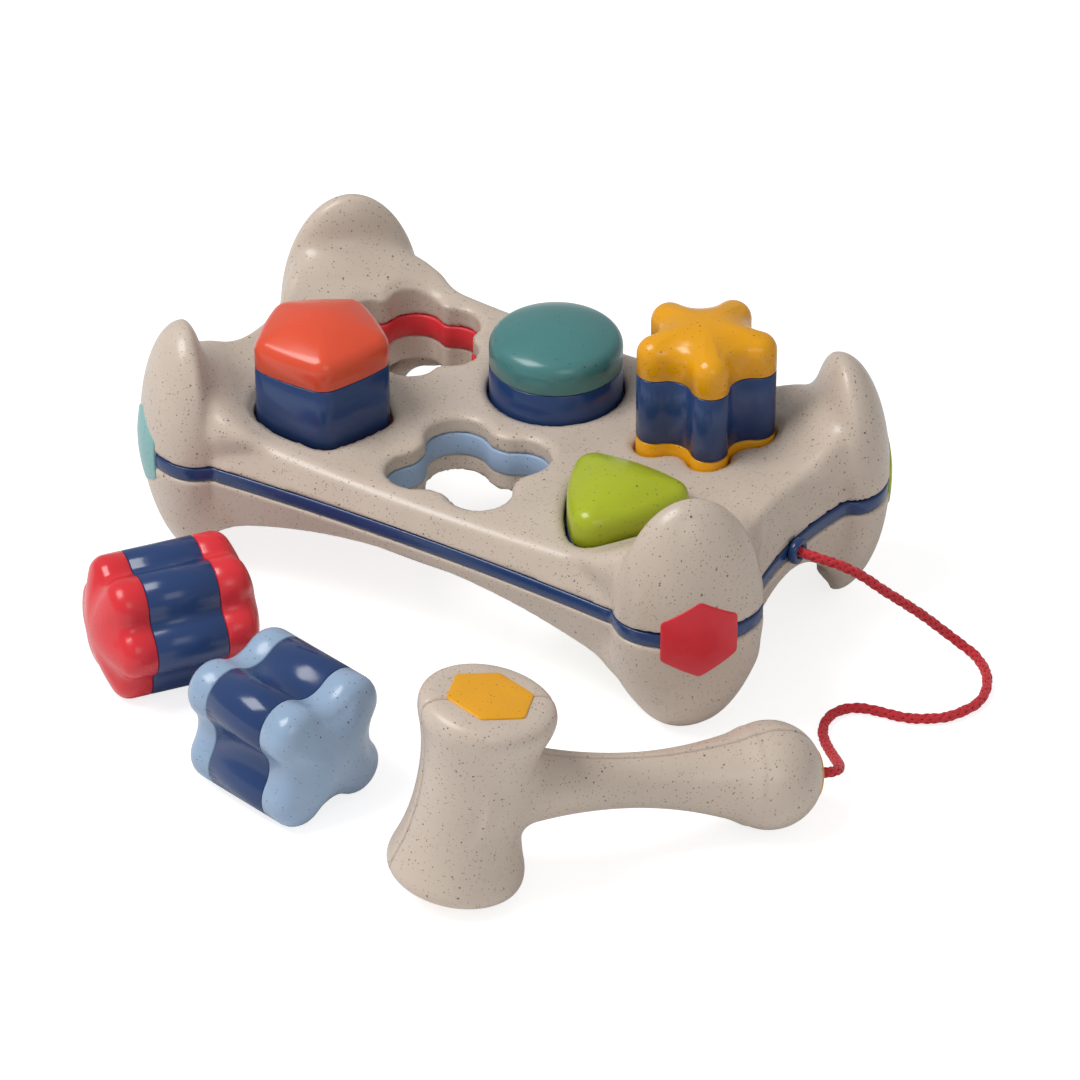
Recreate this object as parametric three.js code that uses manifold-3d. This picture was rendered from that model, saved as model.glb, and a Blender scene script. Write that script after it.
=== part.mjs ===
// Shape sorter bench: a dished deck on four hollow feet with six shaped holes, six blocks that go
// through them, and a toy hammer on a cord. Millimetres, +Z up, +X along the bench.
import * as THREE from 'three';
import { mergeVertices } from 'three/addons/utils/BufferGeometryUtils.js';
import Module from 'manifold-3d';

const wasm = await Module();
wasm.setup();

// Blocks
const CAP_HEIGHT = 17.5;          // with its crown
const SLEEVE_HEIGHT = 27;
const CAP_EDGE = 6.5;             // rounding of the outer edge of a cap
const CAP_CROWN = 4.5;            // swell of the end face
const CAP_SEAM = 0.3;             // line between a cap and the sleeve
const SPIGOT_RADIUS = 13.5;       // plug of a cap, pushed into the sleeve
const SPIGOT_LENGTH = 5;
const SPIGOT_FIT = 0.2;
const LOBE_STEPS = 4;             // facets round a tip of a block's outline
const DIP_STEPS = 2;              // facets between two tips
const DISC_RADIUS = 25;
const CLOVER_TIP = 29.8;
const PENTAGON_TIP = 25.6;

// Holes and the soft liners in them
const HOLE_CLEARANCE = 1;
const GRIP_CLEARANCE = 0.35;
const COLLAR_WALL = 2.4;
const INSERT_HEIGHT = 9;
const INSERT_LIFT = 1;             // liners sit this far above the middle of the band
const COLUMN_GAP = 6.6;           // deck left between neighbouring holes along the bench
const ROW_GAP = 3.8;              // deck left between the two rows
const SEAM = 0.3;                 // line between two pieces that close on each other

// Deck and walls
const WALL = 3;
const DECK_HEIGHT = 61.5;         // at mid length
const DECK_RISE = 8;              // dish of the deck, from mid length to the ends
const END_MARGIN = 29.4;          // end wall beyond the outer holes
const SIDE_MARGIN = 12.7;         // long wall beyond the outer holes
const SIDE_HOLLOW = 3;            // waist of a long wall
const END_HOLLOW = 4.8;           // waist of an end wall
const UPPER_LEAN = 0.5;           // inward lean of the wall above the band, per unit of height
const LOWER_LEAN = 0.25;          // and below it
const WEB_DROP = 24;              // from the deck to the underside of the web
const WEB_THICKNESS = 2.5;
const COLLAR_DROP = 3.4;          // outer collars reach this far below the web

// Band between the shells
const BAND_HEIGHT = 5.4;
const BAND_DROP = 13;             // from the deck to the middle of the band
const BAND_DEPTH = 7;
const BAND_SINK = 0.3;

// Corners: an ear above the band and a half cup foot below it
const EAR_HEIGHT = 35.5;          // above the deck
const EAR_HALF_WIDTH = 27.5;
const EAR_OUTER = 18;             // from the ear's ridge to its outer face
const EAR_INNER = 9.5;            // and to its inner face
const EAR_INSET_X = 12;           // ear ridge inside the end wall
const EAR_INSET_Y = 14.6;         // ear ridge inside the long wall
const EAR_FILLET = 17;            // hollow between the ear's inner face and the deck
const RIM_SWEEP = 40;             // length along the rim in which it rises to the ear
const RIM_CLIMB = 24;             // and how far up the ear it goes
const FOOT_SWELL = 2;             // the foot's curve would close this far below the floor
const FOOT_TUCK = 3;              // the foot leans in this far at the floor
const FOOT_MOUTH = 11;            // a foot's hollow opens this far towards the middle
const LOBE_SIDES = 20;
const LOBE_RINGS = 14;
const HOLLOW_SIDES = 12;
const HOLLOW_RINGS = 8;

// Arches cut in the lower edges of the walls
const SIDE_SKIRT = 6.3;           // wall left under the band at mid length
const SIDE_ARCH_DROP = 27.3;      // from mid length to the ridge of the ears
const END_SKIRT = 9.3;
const END_ARCH_DROP = 48.8;

// Hexagons on the corners and on the hammer
const HEXAGON_RADIUS = 16.2;
const BADGE_THICKNESS = 1;

// Screws that hold the shells together
const SCREW_RADIUS = 1.5;
const SCREW_LENGTH = 14;
const SCREW_HEAD_RADIUS = 3.2;
const SCREW_HEAD_HEIGHT = 2;
const SCREW_FIT = 0.15;
const BOSS_RADIUS = 4.2;
const BOSS_GAP = 3;               // from the knot behind the grommet to the boss near it

// Cord, grommet and knots
const CORD_DIAMETER = 4;
const CORD_SIDES = 8;
const CORD_STEPS = 64;
const CORD_FIT = 0.45;
const GROMMET_WALL = 0.9;
const GROMMET_FLANGE_RADIUS = 5;
const GROMMET_FLANGE = 3;
const GROMMET_TAIL = 2;           // neck behind the band
const KNOT_RADIUS = 4.4;

// Hammer
const HEAD_HEIGHT = 74;
const HEAD_RADIUS = 25;
const HEAD_WAIST = 19;
const HEAD_RIM = 5;
const HEAD_WALL = 2.6;
const HANDLE_REACH = 111;         // head's axis to the middle of the ball
const HANDLE_WAIST = 9.7;
const HANDLE_ROOT = 19.5;         // radius of the handle at the head's axis
const WAIST_TO_BALL = 54;
const BALL_RADIUS = 19.3;
const BUTT_RADIUS = 9.5;
const BUTT_THICKNESS = 2.6;
const BUTT_PROUD = 0.6;
const INLAY_DEPTH = 1.2;
const INLAY_PROUD = 0.6;
const HAMMER_SIDES = 18;

// Where the loose pieces lie on the floor
const HAMMER_PLACE = [92, -172.3];
const HAMMER_HEADING = 50.5;
const FLOWER_PLACE = [-67.7, -125.3];
const FLOWER_HEADING = 54;
const CLOVER_PLACE = [5.4, -160.1];
const CLOVER_HEADING = -12;
const FLOOR_GAP = 0.05;

// Places worked out from the sizes above
const BLOCK_LENGTH = 2 * CAP_HEIGHT + SLEEVE_HEIGHT;
const COLUMN_PITCH = CLOVER_TIP + PENTAGON_TIP + 2 * HOLE_CLEARANCE + COLUMN_GAP;
const ROW_PITCH = CLOVER_TIP + DISC_RADIUS + 2 * HOLE_CLEARANCE + ROW_GAP;
const HALF_LENGTH = COLUMN_PITCH + PENTAGON_TIP + HOLE_CLEARANCE + END_MARGIN;
const HALF_WIDTH = ROW_PITCH / 2 + DISC_RADIUS + HOLE_CLEARANCE + SIDE_MARGIN;
const EAR_X = HALF_LENGTH - EAR_INSET_X;
const EAR_Y = HALF_WIDTH - EAR_INSET_Y;
const EAR_TOP = DECK_HEIGHT + EAR_HEIGHT;
const BAND_MIDDLE = DECK_HEIGHT - BAND_DROP;
const BAND_TOP = BAND_MIDDLE + BAND_HEIGHT / 2;
const BAND_BOTTOM = BAND_MIDDLE - BAND_HEIGHT / 2;
const UPPER_RIM = BAND_TOP + SEAM;
const LOWER_RIM = BAND_BOTTOM - SEAM;
const INSERT_TOP = BAND_MIDDLE + INSERT_LIFT + INSERT_HEIGHT / 2;
const INSERT_BOTTOM = INSERT_TOP - INSERT_HEIGHT;
const WEB_BOTTOM = DECK_HEIGHT - WEB_DROP;
const WEB_TOP = WEB_BOTTOM + WEB_THICKNESS;
const SIDE_ARCH_TOP = BAND_BOTTOM - SIDE_SKIRT;
const END_ARCH_TOP = BAND_BOTTOM - END_SKIRT;
const CORD_RADIUS = CORD_DIAMETER / 2;
const CORD_BORE = CORD_RADIUS + CORD_FIT;
const NECK_RADIUS = CORD_BORE + GROMMET_WALL;
const KNOT_X = HALF_LENGTH - BAND_DEPTH - GROMMET_TAIL - SEAM - KNOT_RADIUS;
const END_BOSS_X = KNOT_X - KNOT_RADIUS - BOSS_GAP - BOSS_RADIUS;
const REACH = 400;                // longer than anything that is cut

const BEIGE = 0xc8b7a8;
const NAVY = 0x233a69;

// Each outline has tips and, half way between them, dips or flat sides, all as arcs
const blockShapes = {
  flower: { lobes: 6, tip: 26.7, dip: 22, round: 10, turn: 0, column: -1, row: 1, colour: 0xe83c41 },
  disc: { lobes: 6, tip: DISC_RADIUS, dip: DISC_RADIUS, round: 10, turn: 0, column: 0, row: 1,
    showing: 28.5, colour: 0x559191 },
  star: { lobes: 5, tip: 26.6, dip: 17.8, round: 7, turn: 90, column: 1, row: 1,
    showing: 47.4, colour: 0xeba514 },
  pentagon: { lobes: 5, tip: PENTAGON_TIP, dip: 22.8, round: 8, turn: 90, column: -1, row: -1,
    showing: 39.6, colour: 0xe15537 },
  clover: { lobes: 4, tip: CLOVER_TIP, dip: 20, round: 11, turn: 45, column: 0, row: -1, colour: 0xa0b9d7 },
  triangle: { lobes: 3, tip: 25.6, dip: 18.5, round: 8, turn: -90, column: 1, row: -1,
    showing: 15.1, colour: 0xafb928 },
};
const insertColours = {
  flower: ['grip_insert_red', 0xc82332],
  disc: ['grip_insert_teal', 0x559191],
  star: ['grip_insert_yellow', 0xeba514],
  pentagon: ['grip_insert_orange', 0xe15537],
  clover: ['grip_insert_light_blue', 0xa0b9d7],
  triangle: ['grip_insert_green', 0xafb928],
};
const corners = [[1, 1], [-1, 1], [-1, -1], [1, -1]];

function deckAt(x) {
  return DECK_HEIGHT + DECK_RISE * (x / HALF_LENGTH) ** 2;
}

// From three.js geometry to a solid that can be cut and joined, and back
function solidOf(geometry) {
  const bare = geometry.clone();
  bare.deleteAttribute('normal');
  bare.deleteAttribute('uv');
  const merged = mergeVertices(bare, 1e-3);
  const corner = merged.index.array;
  const faces = [];
  for (let i = 0; i < corner.length; i += 3) {
    const [a, b, c] = [corner[i], corner[i + 1], corner[i + 2]];
    if (a !== b && b !== c && c !== a) {
      faces.push(a, b, c);
    }
  }
  const vertProperties = new Float32Array(merged.attributes.position.array);
  const triVerts = new Uint32Array(faces);
  return new wasm.Manifold(new wasm.Mesh({ numProp: 3, vertProperties, triVerts }));
}

function geometryOf(solid) {
  const mesh = solid.getMesh();
  const geometry = new THREE.BufferGeometry();
  geometry.setAttribute('position', new THREE.BufferAttribute(mesh.vertProperties, 3));
  geometry.setIndex(new THREE.BufferAttribute(mesh.triVerts, 1));
  geometry.computeVertexNormals();
  return geometry;
}

function joined(solids) {
  return solids.reduce((whole, solid) => whole.add(solid));
}

function moulded(name, solid, color, roughness = 0.45) {
  const material = new THREE.MeshStandardMaterial({ color, roughness, metalness: 0 });
  const mesh = new THREE.Mesh(geometryOf(solid), material);
  mesh.name = name;
  return mesh;
}

function prismGeometry(points, low, high, steps = 1) {
  const shape = new THREE.Shape(points);
  const geometry = new THREE.ExtrudeGeometry(shape, { depth: high - low, steps, bevelEnabled: false });
  return geometry.translate(0, 0, low);
}

function prism(points, low, high) {
  return solidOf(prismGeometry(points, low, high));
}

function cylinder(radius, low, high, sides = 16) {
  const geometry = new THREE.CylinderGeometry(radius, radius, high - low, sides);
  geometry.rotateX(Math.PI / 2);
  return solidOf(geometry.translate(0, 0, (low + high) / 2));
}

function block(low, high) {
  const size = high.map((value, i) => value - low[i]);
  const middle = high.map((value, i) => (value + low[i]) / 2);
  return solidOf(new THREE.BoxGeometry(...size).translate(...middle));
}

function turned(profile, sides) {
  const geometry = new THREE.LatheGeometry(profile.map(([r, h]) => new THREE.Vector2(r, h)), sides);
  return solidOf(geometry.rotateX(Math.PI / 2));
}

// Outline of a block, grown by an even amount for its hole, its liner and its collar
function blockOutline({ lobes, tip, dip, round, turn }, grow) {
  const half = Math.PI / lobes;
  const tipMiddle = tip - round;
  const dipRadius = (round ** 2 - tipMiddle ** 2 - dip ** 2 + 2 * tipMiddle * dip * Math.cos(half))
    / (2 * (dip - tipMiddle * Math.cos(half) - round));
  const dipMiddle = dip + dipRadius;
  const side = Math.sign(dipRadius);
  const meet = Math.atan2(side * dipMiddle * Math.sin(half), side * (dipMiddle * Math.cos(half) - tipMiddle));
  const points = [];
  for (let lobe = 0; lobe < lobes; lobe += 1) {
    const facing = THREE.MathUtils.degToRad(turn) + 2 * half * lobe;
    const tipAt = new THREE.Vector2(tipMiddle, 0).rotateAround(new THREE.Vector2(), facing);
    for (let i = 0; i <= LOBE_STEPS; i += 1) {
      const angle = facing + meet * (2 * i / LOBE_STEPS - 1);
      const outward = new THREE.Vector2(Math.cos(angle), Math.sin(angle));
      points.push(tipAt.clone().add(outward.multiplyScalar(round + grow)));
    }
    const dipAt = new THREE.Vector2(dipMiddle, 0).rotateAround(new THREE.Vector2(), facing + half);
    for (let i = 1; i < DIP_STEPS; i += 1) {
      const across = (meet - half) * (1 - 2 * i / DIP_STEPS);
      const angle = facing + half + across + (side > 0 ? Math.PI : 0);
      const arm = Math.abs(dipRadius - grow);
      points.push(dipAt.clone().add(new THREE.Vector2(Math.cos(angle), Math.sin(angle)).multiplyScalar(arm)));
    }
  }
  return points;
}

function holePlace(shape) {
  return [shape.column * COLUMN_PITCH, shape.row * ROW_PITCH / 2];
}

function holePrism(shape, grow, low, high) {
  const [x, y] = holePlace(shape);
  return prism(blockOutline(shape, grow), low, high).translate([x, y, 0]);
}

// Plan of the bench at the band: four hollow sides, with the corners left to the ears and feet
function bodyOutline() {
  const points = [];
  const sideEnd = EAR_X - EAR_HALF_WIDTH * Math.SQRT1_2 - 2;
  const endEnd = EAR_Y - EAR_HALF_WIDTH * Math.SQRT1_2 + 2;
  const sideSteps = 10;
  const endSteps = 6;
  for (const turn of [1, -1]) {
    for (let i = 0; i <= sideSteps; i += 1) {
      const along = 2 * i / sideSteps - 1;
      points.push(new THREE.Vector2(turn * along * sideEnd, -turn * (HALF_WIDTH + SIDE_HOLLOW * along ** 2)));
    }
    for (let i = 0; i <= endSteps; i += 1) {
      const along = 2 * i / endSteps - 1;
      points.push(new THREE.Vector2(turn * (HALF_LENGTH + END_HOLLOW * along ** 2), turn * along * endEnd));
    }
  }
  return points;
}

// Block of the bench between two heights, with its leaning walls drawn in by an even amount
function bodyBlock(low, high, drawnIn) {
  const geometry = prismGeometry(bodyOutline(), low, high);
  const at = geometry.attributes.position;
  for (let i = 0; i < at.count; i += 1) {
    const z = at.getZ(i);
    const lean = Math.max(0, z - UPPER_RIM) * UPPER_LEAN + Math.max(0, LOWER_RIM - z) * LOWER_LEAN;
    const inset = drawnIn + lean;
    at.setXY(i, at.getX(i) * (1 - inset / HALF_LENGTH), at.getY(i) * (1 - inset / HALF_WIDTH));
  }
  return solidOf(geometry);
}

// Everything above the dished deck, or above a level that follows it lower down
function aboveDeck(below) {
  const half = HALF_LENGTH + EAR_HALF_WIDTH;
  const steps = 20;
  const points = [];
  for (let i = 0; i <= steps; i += 1) {
    const x = half * (2 * i / steps - 1);
    points.push(new THREE.Vector2(x, deckAt(x) - below));
  }
  points.push(new THREE.Vector2(half, REACH), new THREE.Vector2(-half, REACH));
  const geometry = prismGeometry(points, -REACH / 2, REACH / 2);
  return solidOf(geometry.rotateX(Math.PI / 2));
}

// Ear and foot of one corner, facing outwards along the diagonal. The hollow runs into the deck, and
// along the rim it runs out further.
function lobe([sideX, sideY], grow, hollow, sides = LOBE_SIDES, rings = LOBE_RINGS, inner = EAR_INNER) {
  const swept = hollow > 0;
  const geometry = new THREE.SphereGeometry(1, sides, rings);
  const at = geometry.attributes.position;
  const rise = EAR_TOP - BAND_MIDDLE + grow;
  const drop = BAND_MIDDLE + FOOT_SWELL + grow;
  const deck = deckAt(EAR_X) - BAND_MIDDLE;
  for (let i = 0; i < at.count; i += 1) {
    const outward = at.getX(i);
    const up = at.getY(i);
    const along = -at.getZ(i);
    const z = up * (up > 0 ? rise : drop);
    const ring = Math.hypot(outward, along) || 1;
    const flank = THREE.MathUtils.smoothstep(Math.abs(along) / ring, 0.55, 0.9);
    const climb = THREE.MathUtils.lerp(hollow, swept ? RIM_CLIMB : hollow, flank);
    const spread = THREE.MathUtils.lerp(hollow, swept ? RIM_SWEEP : hollow, flank);
    const below = THREE.MathUtils.clamp((deck + climb - z) / (climb || 1), 0, 1);
    const facing = THREE.MathUtils.smoothstep(-outward / ring, -0.6, 0.1);
    const flare = up > 0 ? spread * (1 - Math.sqrt(1 - below ** 2)) * facing : 0;
    const tuck = up < 0 ? FOOT_TUCK * up ** 2 : 0;
    const x = outward * ((outward > 0 ? EAR_OUTER : inner) + grow) + flare * outward / ring - tuck;
    const y = along * (EAR_HALF_WIDTH + grow) + flare * along / ring;
    at.setXYZ(i, x, y, z);
  }
  geometry.rotateZ(Math.atan2(sideY, sideX));
  return solidOf(geometry.translate(sideX * EAR_X, sideY * EAR_Y, BAND_MIDDLE));
}

function lobePrism([sideX, sideY], grow, low, high) {
  const ellipse = new THREE.EllipseCurve(0, 0, EAR_OUTER + grow, EAR_HALF_WIDTH + grow);
  const points = ellipse.getPoints(LOBE_SIDES).slice(0, LOBE_SIDES);
  const geometry = prismGeometry(points, low, high);
  geometry.rotateZ(Math.atan2(sideY, sideX));
  return solidOf(geometry.translate(sideX * EAR_X, sideY * EAR_Y, 0));
}

// Full plan of the bench at the band, ears included
function planBlock(low, high, grow) {
  const lobes = corners.map((corner) => lobePrism(corner, grow, low, high));
  return joined([bodyBlock(low, high, -grow), ...lobes]);
}

const bossPlaces = [
  [-END_BOSS_X, 0],
  [-COLUMN_PITCH / 2, 0],
  [COLUMN_PITCH / 2, 0],
  [END_BOSS_X, 0],
];

function grommetBore() {
  const geometry = new THREE.CylinderGeometry(NECK_RADIUS + SEAM, NECK_RADIUS + SEAM, 3 * BAND_DEPTH, 16);
  return solidOf(geometry.rotateZ(Math.PI / 2).translate(HALF_LENGTH, 0, BAND_MIDDLE));
}

function topShell() {
  const body = bodyBlock(UPPER_RIM, EAR_TOP, 0).subtract(aboveDeck(0));
  const aboveBand = block([-REACH, -REACH, UPPER_RIM], [REACH, REACH, REACH]);
  const ears = joined(corners.map((corner) => lobe(corner, 0, 0))).intersect(aboveBand);
  const flared = joined(corners.map((corner) => lobe(corner, 0, EAR_FILLET)));
  const sweeps = flared.intersect(bodyBlock(UPPER_RIM, EAR_TOP, 0));
  const inside = bodyBlock(UPPER_RIM - 1, EAR_TOP, WALL).subtract(aboveDeck(WALL));
  const earHollows = joined(corners.map((corner) => lobe(corner, -WALL, 0, HOLLOW_SIDES, HOLLOW_RINGS)));
  let shell = body.add(ears).add(sweeps).subtract(inside).subtract(earHollows);
  const underDeck = aboveDeck(WALL / 2);
  const collars = Object.values(blockShapes)
    .map((shape) => holePrism(shape, HOLE_CLEARANCE + COLLAR_WALL, INSERT_TOP + SEAM, EAR_TOP));
  const bosses = bossPlaces.map(([x, y]) =>
    cylinder(BOSS_RADIUS, WEB_TOP + SEAM, EAR_TOP).translate([x, y, 0]));
  shell = shell.add(joined([...collars, ...bosses]).subtract(underDeck));
  const holes = Object.values(blockShapes).map((shape) => holePrism(shape, HOLE_CLEARANCE, 0, REACH));
  const pilots = bossPlaces.map(([x, y]) =>
    cylinder(SCREW_RADIUS + SCREW_FIT, 0, WEB_BOTTOM + SCREW_LENGTH + SEAM, 10).translate([x, y, 0]));
  return shell.subtract(joined([...holes, ...pilots, grommetBore()]));
}

// Arch under one pair of walls: a parabola that runs down into the feet
function archPoints(top, drop, half) {
  const steps = 12;
  const points = [new THREE.Vector2(half, -REACH), new THREE.Vector2(half, top - drop)];
  for (let i = 1; i < steps; i += 1) {
    const along = 1 - 2 * i / steps;
    points.push(new THREE.Vector2(half * along, top - drop * along ** 2));
  }
  points.push(new THREE.Vector2(-half, top - drop), new THREE.Vector2(-half, -REACH));
  return points;
}

function bottomShell() {
  const feet = joined(corners.map((corner) => lobe(corner, 0, 0)));
  const mouth = EAR_INNER + FOOT_MOUTH;
  const footHollows = joined(corners.map((corner) =>
    lobe(corner, -WALL, 0, HOLLOW_SIDES, HOLLOW_RINGS, mouth)));
  const slab = block([-REACH, -REACH, 0], [REACH, REACH, LOWER_RIM]);
  let shell = bodyBlock(0, LOWER_RIM, 0).add(feet.intersect(slab));
  const inside = joined([bodyBlock(0, LOWER_RIM + 1, WALL), footHollows]);
  const web = block([-REACH, -REACH, WEB_BOTTOM], [REACH, REACH, WEB_TOP]);
  shell = shell.subtract(inside.subtract(web)).subtract(block([-REACH, -REACH, -REACH], [REACH, REACH, 0]));
  const sideArch = archPoints(SIDE_ARCH_TOP, SIDE_ARCH_DROP, EAR_X);
  const endArch = archPoints(END_ARCH_TOP, END_ARCH_DROP, EAR_Y);
  const cups = feet.subtract(bodyBlock(-1, LOWER_RIM + 1, -SEAM));
  const spared = bodyBlock(-1, LOWER_RIM + 1, WALL + SEAM).add(cups);
  const sideTunnel = solidOf(prismGeometry(sideArch, -REACH / 2, REACH / 2).rotateX(Math.PI / 2));
  const endGeometry = prismGeometry(endArch, -REACH / 2, REACH / 2);
  const endTunnel = solidOf(endGeometry.rotateX(Math.PI / 2).rotateZ(Math.PI / 2));
  shell = shell.subtract(sideTunnel.add(endTunnel).subtract(spared));
  const collars = Object.values(blockShapes).map((shape) => {
    const foot = WEB_BOTTOM - COLLAR_DROP * Math.abs(shape.column);
    return holePrism(shape, HOLE_CLEARANCE + COLLAR_WALL, foot, INSERT_BOTTOM - SEAM);
  });
  const holes = Object.values(blockShapes).map((shape) => holePrism(shape, HOLE_CLEARANCE, -1, REACH));
  const screwHoles = bossPlaces.map(([x, y]) =>
    cylinder(SCREW_RADIUS + SEAM, 0, REACH, 10).translate([x, y, 0]));
  return shell.add(joined(collars)).subtract(joined([...holes, ...screwHoles, grommetBore()]));
}

function beltBand() {
  const outer = planBlock(BAND_BOTTOM, BAND_TOP, -BAND_SINK);
  return outer.subtract(planBlock(BAND_BOTTOM - 1, BAND_TOP + 1, -BAND_DEPTH)).subtract(grommetBore());
}

function gripInsert(shape) {
  const outer = holePrism(shape, HOLE_CLEARANCE + COLLAR_WALL, INSERT_BOTTOM, INSERT_TOP);
  return outer.subtract(holePrism(shape, GRIP_CLEARANCE, 0, REACH));
}

function hexagon(radius, turn) {
  return Array.from({ length: 6 }, (_, i) => {
    const angle = turn + i * Math.PI / 3;
    return new THREE.Vector2(radius * Math.cos(angle), radius * Math.sin(angle));
  });
}

// Hexagon bent over the corner, with a point up and a point down
function cornerBadge(corner) {
  const facing = Math.atan2(corner[1], corner[0]);
  const geometry = prismGeometry(hexagon(HEXAGON_RADIUS, Math.PI / 2), 0, REACH);
  geometry.rotateX(Math.PI / 2).rotateZ(Math.PI / 2 + facing);
  geometry.translate(corner[0] * EAR_X, corner[1] * EAR_Y, BAND_MIDDLE);
  const skin = lobe(corner, SEAM + BADGE_THICKNESS, 0).subtract(lobe(corner, SEAM, 0));
  return solidOf(geometry).intersect(skin);
}

function cordGrommet() {
  const face = HALF_LENGTH + SEAM;
  const tail = HALF_LENGTH - BAND_DEPTH - GROMMET_TAIL;
  const edge = GROMMET_FLANGE / 3;
  const profile = [
    [CORD_BORE, tail], [NECK_RADIUS, tail], [NECK_RADIUS, face], [GROMMET_FLANGE_RADIUS, face],
    [GROMMET_FLANGE_RADIUS, face + GROMMET_FLANGE - edge],
    [GROMMET_FLANGE_RADIUS - edge, face + GROMMET_FLANGE], [CORD_BORE, face + GROMMET_FLANGE],
    [CORD_BORE, tail],
  ];
  return turned(profile, 16).rotate([0, 90, 0]).translate([0, 0, BAND_MIDDLE]);
}

function shellScrew() {
  const headTop = WEB_BOTTOM - SCREW_FIT;
  const head = cylinder(SCREW_HEAD_RADIUS, headTop - SCREW_HEAD_HEIGHT, headTop, 12);
  return head.add(cylinder(SCREW_RADIUS, headTop - 1, headTop + SCREW_LENGTH, 10));
}

function knot() {
  return solidOf(new THREE.SphereGeometry(KNOT_RADIUS, 10, 8));
}

// One end of a block, standing on its plug side, with the outer edge rounded and the end face swelled
function blockCap(shape) {
  const steps = 5;
  const geometry = prismGeometry(blockOutline(shape, 0), 0, steps, steps);
  const at = geometry.attributes.position;
  const shoulder = CAP_HEIGHT - CAP_CROWN;
  const inner = shape.tip - CAP_EDGE;
  const levels = [
    [0, 0],
    [shoulder - CAP_EDGE, 0],
    [shoulder - CAP_EDGE * (1 - Math.SQRT1_2), CAP_EDGE * (1 - Math.SQRT1_2)],
    [shoulder, CAP_EDGE],
    [CAP_HEIGHT - CAP_CROWN / 3, shape.tip - inner * Math.sqrt(1 / 3)],
    [CAP_HEIGHT, shape.tip - inner / 5],
  ];
  for (let i = 0; i < at.count; i += 1) {
    const [height, inset] = levels[Math.round(at.getZ(i))];
    const scale = 1 - inset / shape.tip;
    at.setXYZ(i, at.getX(i) * scale, at.getY(i) * scale, height);
  }
  return solidOf(geometry).add(cylinder(SPIGOT_RADIUS, -SPIGOT_LENGTH, 1, 12));
}

function blockSleeve(shape) {
  const outer = prism(blockOutline(shape, 0), CAP_HEIGHT + CAP_SEAM, CAP_HEIGHT + SLEEVE_HEIGHT - CAP_SEAM);
  return outer.subtract(cylinder(SPIGOT_RADIUS + SPIGOT_FIT, 0, BLOCK_LENGTH, 12));
}

function blockGroup(name, shape) {
  const group = new THREE.Group();
  const upper = moulded(`${name}_upper_cap`, blockCap(shape), shape.colour);
  upper.position.z = CAP_HEIGHT + SLEEVE_HEIGHT;
  const lowerSolid = blockCap({ ...shape, turn: -shape.turn }).rotate([180, 0, 0]);
  const lower = moulded(`${name}_lower_cap`, lowerSolid, shape.colour);
  lower.position.z = CAP_HEIGHT;
  group.add(upper, moulded(`${name}_sleeve`, blockSleeve(shape), NAVY, 0.3), lower);
  return group;
}

function seatBlock(name, shape) {
  const group = blockGroup(name, shape);
  const [x, y] = holePlace(shape);
  group.position.set(x, y, deckAt(x) + shape.showing - BLOCK_LENGTH);
  return group;
}

// A block on its side, resting on two neighbouring lobes
function layBlock(name, shape, [x, y], heading) {
  const half = Math.PI / shape.lobes;
  const group = blockGroup(name, { ...shape, turn: THREE.MathUtils.radToDeg(half) });
  group.rotation.set(0, Math.PI / 2, 0);
  const along = THREE.MathUtils.degToRad(heading);
  const height = (shape.tip - shape.round) * Math.cos(half) + shape.round + FLOOR_GAP;
  const laid = new THREE.Group();
  laid.add(group);
  laid.rotation.z = along;
  laid.position.set(x - Math.cos(along) * BLOCK_LENGTH / 2, y - Math.sin(along) * BLOCK_LENGTH / 2, height);
  return laid;
}

// Hammer in its own frame: head's axis along Z, handle along X, halves meeting at Y = 0
function headSolid(thinner) {
  const half = HEAD_HEIGHT / 2;
  const straight = half - HEAD_RIM;
  const steps = 4;
  const profile = [];
  for (let i = -steps; i <= steps; i += 1) {
    const swell = Math.abs(i / steps) ** 2.2;
    profile.push([HEAD_WAIST + (HEAD_RADIUS - HEAD_WAIST) * swell - thinner, straight * i / steps]);
  }
  const face = thinner > 0 ? half - INLAY_DEPTH - thinner : half;
  const rimOut = HEAD_RADIUS - HEAD_RIM * (1 - Math.SQRT1_2) - thinner;
  const rimUp = face - HEAD_RIM * (1 - Math.SQRT1_2);
  const rimIn = HEAD_RADIUS - HEAD_RIM - thinner;
  const lower = [[0, -face], [rimIn, -face], [rimOut, -rimUp]];
  const upper = [[rimOut, rimUp], [rimIn, face], [0, face]];
  return turned([...lower, ...profile, ...upper], HAMMER_SIDES);
}

function handleSolid(thinner) {
  const joint = HANDLE_REACH - BALL_RADIUS / 2;
  const waistAt = HANDLE_REACH - WAIST_TO_BALL;
  const atBall = BALL_RADIUS * Math.cos(Math.PI / 6);
  const steps = 8;
  const profile = [[0, 0]];
  for (let i = 0; i <= steps; i += 1) {
    const along = joint * i / steps;
    const end = along < waistAt ? HANDLE_ROOT : atBall;
    const away = (along - waistAt) / (along < waistAt ? waistAt : joint - waistAt);
    profile.push([HANDLE_WAIST + (end - HANDLE_WAIST) * away ** 2 - thinner, along]);
  }
  profile.push([0, joint]);
  const stem = turned(profile, 12).rotate([0, 90, 0]);
  const ball = solidOf(new THREE.SphereGeometry(BALL_RADIUS - thinner, 16, 10).rotateZ(Math.PI / 2));
  return stem.add(ball.translate([HANDLE_REACH, 0, 0]));
}

const buttFace = HANDLE_REACH + Math.sqrt(BALL_RADIUS ** 2 - BUTT_RADIUS ** 2);

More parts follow.
